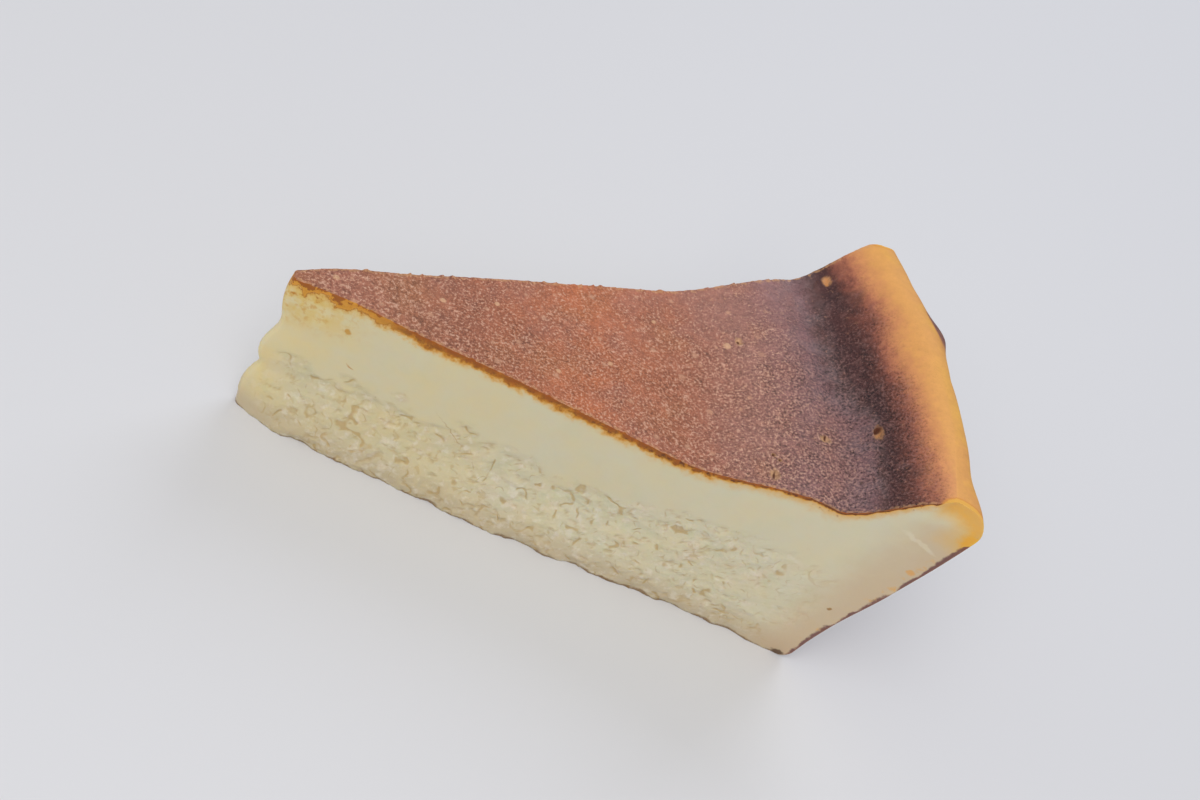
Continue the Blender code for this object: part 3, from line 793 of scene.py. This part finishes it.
def singleMarks(material, spot, colour):
    # each is the inside of a ball that is stretched, turned and bent a little
    length, bent = custardLook["markBend"]
    bend = addNode(material, "TexNoise", None, {
        "Vector": spot, "Scale": 1.0 / (length * mm), "Detail": 2.0})
    moved = addNode(material, "VectorMath", timesPlus, {
        0: bend.outputs["Color"], 1: (bent * mm, bent * mm, bent * mm), 2: spot})
    for paint, most, place, halfWidths, tilt, turn in custardLook["marks"]:
        ball = addNode(material, "Mapping", {"vector_type": "TEXTURE"}, {"Vector": moved,
            "Location": tuple((value + bent / 2.0) * mm for value in place),
            "Rotation": (0.0, math.radians(tilt), math.radians(turn)),
            "Scale": tuple(value * mm for value in halfWidths)})
        reach = addNode(material, "VectorMath", {"operation": "LENGTH"}, {0: ball}).outputs["Value"]
        mark = addNode(material, "MapRange", smooth, {"Value": reach, "From Min": 1.1, "From Max": 0.5})
        colour = paintCoats(material, spot, colour, {"mark": mark}, ((paint, most, ("mark",), ()),))
    return colour


def bakedCustard():
    look = custardLook
    material, shader, spot, sources = startMaterial(
        "custard_baked_and_cut", ("torn", "crevice", "crustDepth", "underSkin", "wallDepth", "amber"),
        look["settings"])
    zones = addZones(material, spot, sources, look["zones"])
    along = addNode(material, "MapRange", None, {
        "Value": sources["along"], "From Min": look["length"][0], "From Max": look["length"][1]})
    colour = setRamp(addNode(material, "ValToRGB", None, {"Fac": along}), look["alongStops"])
    zones["cracks"] = crackedCrumb(material, spot, sources)
    colour = paintCoats(material, spot, colour, zones, look["coats"])
    lineColour = brownLine(material, spot, sources, zones)
    colour = paintCoats(material, spot, colour, zones, ((lineColour, 1.0, ("crust",), ()),) + look["coatsOver"])
    feed(material, shader, {"Base Color": singleMarks(material, spot, colour)})

    # fine pores all over, soft lumps and cracks where it tore
    relief = addNode(material, "Math", times, {0: zones["cracks"], 1: look["crackBump"]})
    for size, height in look["pores"]:
        lumps = addNode(material, "TexNoise", None, {
            "Vector": spot, "Scale": 1.0 / (size * mm), "Detail": 2.0, "Roughness": 0.6})
        relief = addNode(material, "Math", timesPlus, {0: lumps, 1: height, 2: relief})
    strength = addNode(material, "MapRange", None, {
        "Value": sources["torn"], "To Min": look["bumpStrength"][0], "To Max": look["bumpStrength"][1]})
    bump = addNode(material, "Bump", None, {
        "Distance": look["bumpDepth"], "Strength": strength, "Height": relief})
    feed(material, shader, {"Normal": bump})
    return material


# Browned skin: the custard's top and sides, dried and caramelised in a hot oven. It is matt with
# a painted grey sheen near the ring, finely speckled with pale flecks that are partly painted glints, darkest in
# the ring at the rim's foot and golden on the crest
skinLook = {
    "pathStops": (  # millimetres along the skin from the centre, over the rim and down the wall
        (0.0, "ac6e46"), (3.5, "ac6d4c"), (8.0, "b4735c"), (18.0, "b07052"), (27.0, "ad694c"),
        (45.0, "c77349"), (60.0, "b46d4f"), (70.0, "a97465"), (77.0, "9a6b66"), (81.0, "886366"),
        (84.0, "63433f"), (85.7, "532e2d"), (87.0, "522c29"), (88.0, "5d3129"), (89.0, "8c5040"),
        (90.1, "bb7455"), (91.4, "d8935e"), (93.2, "e5a65c"), (96.5, "db9d54"), (98.8, "d4984c"),
        (100.2, "ba8049"), (101.4, "7d4d42"), (103.4, "6c4241"), (120.0, "7c5040"), (141.0, "6f4634"),
        (150.0, "7d5236"), (170.0, "a98052")),
    "pathLength": 200.0,
    "pathWander": ((5.0, 0.5), (0.9, 0.36)),  # the colours' edges wander: over what length, how far, in mm
    "zones": (
        ("onFlat", "path", 84.0, 66.0),
        ("greySheenIn", "path", 73.0, 83.0),
        ("greySheenOut", "path", 86.6, 83.6),
        ("ringIn", "path", 81.0, 86.0),
        ("ringOut", "path", 91.0, 89.0),
        ("crestIn", "path", 93.0, 97.0),
        ("crestOut", "path", 101.0, 99.0),
        ("calm", "path", 92.5, 88.5),
        ("speckled", "path", 64.0, 76.0),
        ("nearHalf", "across", 6.0 * mm, -12.0 * mm),
        ("wall", "path", 100.5, 103.5),
        ("crumbs", "skinEdge", 0.2, 0.7, 0.3, 0.8),
        ("biteLine", "amber", 0.05, 0.3, 0.1, 0.8),
        ("bitten", "amber", 0.35, 0.6, 0.1, 0.8),
    ),
    "coats": (  # colour, strength, zones, grains
        ("b97a50", 0.36, ("onFlat",), ((9.0, 0.5, 0.66),)),  # tan and mauve patches
        ("a2766f", 0.25, ("onFlat",), ((11.0, 0.5, 0.36),)),
        ("8d7d80", 0.4, ("greySheenIn", "greySheenOut"), ((3.5, 0.4, 0.65),)),  # painted grey sheen
        ("3e2224", 0.6, ("ringIn", "ringOut"), ((5.0, 0.5, 0.62),)),  # the ring's blackest and palest blots
        ("8a655f", 0.35, ("ringIn", "ringOut"), ((2.0, 0.54, 0.7),)),
        ("e6b244", 0.6, ("crestIn", "crestOut"), ((8.0, 0.46, 0.64),)),
        ("5a342c", 0.55, ("wall",), ((7.0, 0.48, 0.66),)),  # the wall is mottled where the paper lay on it
        ("a6754f", 0.4, ("wall",), ((3.2, 0.52, 0.68),)),
        ("b98a66", 0.3, ("wall",), ((0.7, 0.55, 0.68),)),
    ),
    "fleck": (0.4, (0.34, 0.66)),  # size in millimetres, the levels of noise where it is darkest and palest
    # pale fleck colours on the flat and in the ring: partly real pale speck, partly painted glint
    "speckAndGlintColour": "e6b89e",
    "ringSpeckAndGlintColour": "b68c84",
    # how strong the flecks are, each from, to, first and last: across the slice, and on the crest and off
    # it, how dark the dark ones are and how pale the pale ones (partly painted glints), on the flat and in the
    # ring
    "fleckAcross": (0.0, 22.0 * mm, 1.25, 0.5),
    "fleckOnCrest": (0.0, 1.0, 0.08, 1.0),
    "fleckDarkness": (64.0, 82.0, 0.4, 0.66),
    "speckAndGlintPaleness": (78.0, 86.0, 0.75, 0.3),
    "fleckPatches": (4.5, (0.36, 0.62), (0.66, 1.1)),  # patches of stronger flecks, and so of stronger painted glints: length in millimetres, levels of noise, strengths
    "paleSpeckAndGlintLevels": (0.1, 0.9),  # strengths between which a fleck turns pale, partly as a painted glint
    "blotches": ((2.2, 0.14), (1.0, 0.1)),  # softer and below the flecks: size in millimetres, strength
    "blotchOnCrest": 0.3,
    "dot": (6.0, (0.03, 0.15), 0.02),  # pale dots this far apart in mm, their sizes and edge in shares of that
    "coatsOver": (
        ("4e2e2b", 0.75, ("speckled", "nearHalf", "calm"), ((0.42, 0.6, 0.66),)),  # burnt specks
        ("d8a384", 0.7, ("dots", "onFlat"), ()),
        ("cf9c6c", 0.55, ("crumbs",), ((0.8, 0.42, 0.55),)),
        # pale and orange lip round each pit: its baked rim, partly painted light on the lip
        ("dcae80", 0.85, ("pitLip",), ((0.7, 0.2, 0.5),)),
        ("d98a3e", 0.75, ("pitLip", "ringIn"), ((0.7, 0.3, 0.6),)),
        # painted shadow in each pit's hole
        ("582812", 0.95, ("pitHoleShadow",), ()),
        ("e8b890", 0.8, ("blister",), ()),
        ("d98f3c", 0.8, ("biteLine",), ()),
        ("eab34a", 0.8, ("bitten",), ()),
    ),
    "roughness": (0.7, 0.45),  # on the rim, on the flat
    "bump": (0.11 * mm, 0.7),  # depth, strength
    "settings": {"IOR": 1.45},
}


def fleckedSkin(material, spot, zones, colour):
    # flecks a third of a millimetre across, bolder towards the near cut and the rim; the pale ones are partly
    # real speck and partly painted glints
    look = skinLook
    fleck = unevenLevel(material, spot, *look["fleck"], (-1.0, 1.0), 3.0, 0.7)
    levels = {}  # each runs with its source from one level to another
    for name, source in (("fleckAcross", "across"), ("fleckOnCrest", "calm"), ("fleckDarkness", "path"),
                         ("speckAndGlintPaleness", "path")):
        start, full, first, last = look[name]
        levels[name] = addNode(material, "MapRange", None, {
            "Value": zones[source], "From Min": start, "From Max": full,
            "To Min": first, "To Max": last})
    patches = unevenLevel(material, spot, *look["fleckPatches"])
    for factor in (levels["fleckAcross"], patches, levels["fleckOnCrest"]):
        fleck = addNode(material, "Math", times, {0: fleck, 1: factor})
    dark = addNode(material, "Math", times, {0: fleck, 1: levels["fleckDarkness"]})
    shade = addNode(material, "Math", {"operation": "MINIMUM"}, {0: dark, 1: 0.0})
    for size, reach in look["blotches"]:
        reachHere = addNode(material, "MapRange", None, {
            "Value": zones["calm"], "To Min": look["blotchOnCrest"] * reach, "To Max": reach})
        shade = addNode(material, "Math", timesPlus, {
            0: unevenLevel(material, spot, size, mostNoise, (-1.0, 1.0)),
            1: reachHere, 2: shade})
    value = addNode(material, "Math", plus, {0: shade, 1: 1.0})
    tuned = addNode(material, "HueSaturation", None, {"Color": colour, "Value": value})
    speckAndGlintColour = addNode(material, "Mix", {"data_type": "RGBA"}, {
        0: zones["greySheenIn"], 6: linear(look["speckAndGlintColour"]), 7: linear(look["ringSpeckAndGlintColour"])})
    # the pale flecks: partly real speck, partly painted glints
    start, full = look["paleSpeckAndGlintLevels"]
    zones["pale"] = addNode(material, "MapRange", smooth, {
        "Value": fleck, "From Min": start, "From Max": full, "To Max": levels["speckAndGlintPaleness"]})
    coat = (speckAndGlintColour.outputs[2], 1.0, ("pale",), ())
    return paintCoats(material, spot, tuned, zones, (coat,)), fleck


def paleDots(material, spot):  # where a bubble dried just under the skin
    apart, sizes, edge = skinLook["dot"]
    cells = addNode(material, "TexVoronoi", {"voronoi_dimensions": "2D"}, {
        "Vector": spot, "Scale": 1.0 / (apart * mm)})
    size = addNode(material, "MapRange", None, {  # no two are the same size
        "Value": cells.outputs["Color"], "To Min": sizes[0], "To Max": sizes[1]})
    return addNode(material, "MapRange", smooth, {"Value": cells.outputs["Distance"], "From Min": size,
        "From Max": edge})


def brownedSkin():
    look = skinLook
    material, shader, spot, sources = startMaterial(
        "custard_skin_browned_in_the_oven", ("path", "pitHoleShadow", "pitLip", "blister", "skinEdge", "amber"),
        look["settings"])
    wandered = sources["path"]
    zones = addZones(material, spot, sources, look["zones"])
    for length, reach in look["pathWander"]:
        wandered = addNode(material, "Math", plus, {
            0: wandered, 1: unevenLevel(material, spot, length, mostNoise, (-reach, reach))})
    scaled = addNode(material, "Math", {"operation": "DIVIDE"}, {0: wandered, 1: look["pathLength"]})
    ramp = setRamp(addNode(material, "ValToRGB", None, {"Fac": scaled}),
                   [(place / look["pathLength"], code) for place, code in look["pathStops"]])
    colour = paintCoats(material, spot, ramp, zones, look["coats"])
    colour, fleck = fleckedSkin(material, spot, zones, colour)
    zones["dots"] = paleDots(material, spot)
    colour = paintCoats(material, spot, colour, zones, look["coatsOver"])
    matt = addNode(material, "MapRange", None, {
        "Value": zones["calm"], "To Min": look["roughness"][0], "To Max": look["roughness"][1]})
    bump = addNode(material, "Bump", None, {
        "Distance": look["bump"][0], "Strength": look["bump"][1], "Height": fleck})
    feed(material, shader, {"Base Color": colour, "Roughness": matt, "Normal": bump})
    return material


slicePiece = sweepSlice()
print("slice swept:", len(slicePiece.data.vertices), "points")
layRelief(slicePiece)
finishForm(slicePiece, bakedCustard(), brownedSkin())
triangles = sum(len(face.vertices) - 2 for face in slicePiece.data.polygons)
print("slice finished:", triangles, "triangles")
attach(slicePiece, "root")
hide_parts("cheesecake_slice")

stage = {
    "floorSize": 3.0,
    "floorColour": "dcdde0",
    "floorRoughness": 0.6,
    "floorGap": 0.02 * mm,
    # softboxes: name, place, size, power, colour
    "lamps": (
        ("front_softbox", (-0.30, -0.45, 0.80), 0.9, 5.7, "fffbf5"),
        ("back_softbox", (0.50, 0.66, 0.72), 0.7, 3.0, "f6f8ff"),
    ),
    "skyColour": "f6f8ff",
    "skyStrength": 0.46,
}

view = {  # the photograph's viewpoint, worked out from the slice's own corners
    "lens": 42.0,
    "sensor": 36.0,
    "place": Vector((-20.921, -135.655, 156.139)) * mm,  # from the cake's centre
    "right": Vector((0.90697, -0.05815, 0.41717)),
    "up": Vector((-0.23567, 0.75082, 0.61703)),
    "back": Vector((-0.34910, -0.65794, 0.66727)),
}


def layFloor():
    bpy.ops.mesh.primitive_plane_add(size=stage["floorSize"], location=(0.0, 0.0, -stage["floorGap"]))
    floor = bpy.context.object
    floor.name = "floor"
    material = bpy.data.materials.new("matt_painted_board")
    material.use_nodes = True
    shader = material.node_tree.nodes["Principled BSDF"]
    shader.inputs["Base Color"].default_value = linear(stage["floorColour"])
    shader.inputs["Roughness"].default_value = stage["floorRoughness"]
    floor.data.materials.append(material)


def lightScene():
    for name, place, size, power, colour in stage["lamps"]:
        bpy.ops.object.light_add(type="AREA", location=place)
        lamp = bpy.context.object
        lamp.name = name
        lamp.data.size = size
        lamp.data.energy = power
        lamp.data.color = linear(colour)[:3]
        lamp.rotation_euler = (-Vector(place)).to_track_quat("-Z", "Y").to_euler()
    world = bpy.data.worlds.new("soft_studio")
    bpy.context.scene.world = world
    world.use_nodes = True
    background = world.node_tree.nodes["Background"]
    background.inputs["Color"].default_value = linear(stage["skyColour"])
    background.inputs["Strength"].default_value = stage["skyStrength"]
    bpy.context.scene.view_settings.view_transform = "Standard"


def placeCamera():
    bpy.ops.object.camera_add()
    camera = bpy.context.object
    camera.data.lens = view["lens"]
    camera.data.sensor_width = view["sensor"]
    camera.data.clip_start = 0.01
    turn = Matrix((view["right"], view["up"], view["back"])).transposed()
    camera.matrix_world = Matrix.Translation(cake["centre"] + view["place"]) @ turn.to_4x4()
    bpy.context.scene.camera = camera


layFloor()
lightScene()
placeCamera()
print("floor, light and camera placed")
